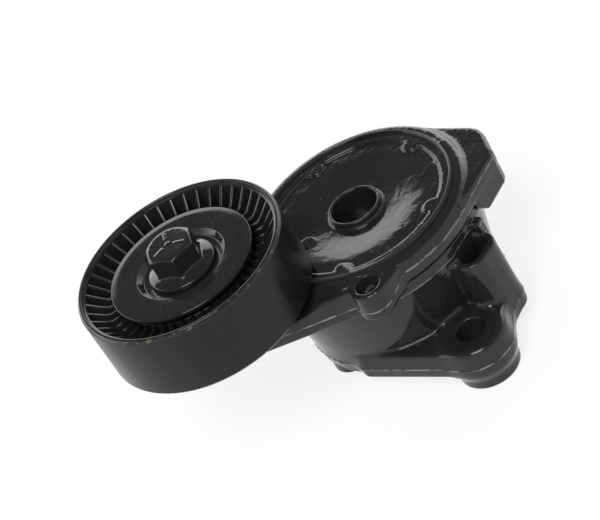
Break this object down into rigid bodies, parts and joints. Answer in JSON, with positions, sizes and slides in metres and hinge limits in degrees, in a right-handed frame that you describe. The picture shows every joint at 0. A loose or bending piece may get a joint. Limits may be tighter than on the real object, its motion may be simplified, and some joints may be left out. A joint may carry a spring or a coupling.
{
  "type": "belt tensioner",
  "caption": "Automatic belt tensioner: a sprung die-cast arm turns on a cup-shaped base and carries a ribbed idler pulley on a ball bearing.",
  "frame": {"origin": "on the arm's pivot axis, in the rear face of the base's centre pad, which is the mounting plane", "axes": "+Z along the pivot axis out of the front of the unit, -X from the pivot to the pulley, -Y to the near bolt lug"},
  "size_m": [0.1378, 0.1116, 0.0814],
  "materials": {
    "painted_casting": "gloss black paint over a die casting",
    "pulley_moulding": "satin black glass-filled moulding",
    "painted_cover": "gloss black paint over pressed steel",
    "painted_bolt": "gloss black paint over a forged bolt head",
    "bearing_steel": "ground steel",
    "spring_steel": "dark phosphated spring wire",
    "damper_plastic": "matt filled nylon",
    "seal_rubber": "matt black rubber"
  },
  "bodies": {
    "base": {"base_housing": "painted_casting", "pivot_shaft": "bearing_steel", "torsion_spring": "spring_steel", "spring_seat": "damper_plastic", "dust_seal": "seal_rubber", "thrust_washer": "damper_plastic", "retainer_washer": "bearing_steel"},
    "arm": {"tensioner_arm": "painted_casting", "pivot_bushing": "damper_plastic", "friction_ring": "damper_plastic", "hub_spacer": "bearing_steel", "bearing_inner_race": "bearing_steel", "dust_cover": "painted_cover", "rear_dust_shield": "bearing_steel", "pulley_bolt": "painted_bolt"},
    "pulley": {"pulley_rim": "pulley_moulding", "bearing_outer_race": "bearing_steel", "bearing_seal_front": "seal_rubber", "bearing_seal_rear": "seal_rubber"},
    "cage": {"bearing_cage": "damper_plastic", "bearing_ball_1": "bearing_steel", "bearing_ball_2": "bearing_steel", "bearing_ball_3": "bearing_steel", "bearing_ball_4": "bearing_steel", "bearing_ball_5": "bearing_steel", "bearing_ball_6": "bearing_steel", "bearing_ball_7": "bearing_steel", "bearing_ball_8": "bearing_steel"}
  },
  "joints": [
    {"name": "arm_pivot", "type": "hinge", "parent": "base", "child": "arm", "pos_m": [0, 0, 0.04], "axis": [0, 0, 1], "range_deg": [0, 57], "stiffness_Nm_per_rad": 10, "springref_deg": -57.3, "deforming": ["torsion_spring"]},
    {"name": "pulley_spin", "type": "hinge", "parent": "arm", "child": "pulley", "pos_m": [-0.0564, 0, 0.0633], "axis": [0, 0, 1], "continuous": true},
    {"name": "cage_spin", "type": "hinge", "parent": "arm", "child": "cage", "pos_m": [-0.0564, 0, 0.0633], "axis": [0, 0, 1], "continuous": true}
  ],
  "couplings": [
    {"joint": "cage_spin", "follows": "pulley_spin", "ratio": 0.6193}
  ]
}
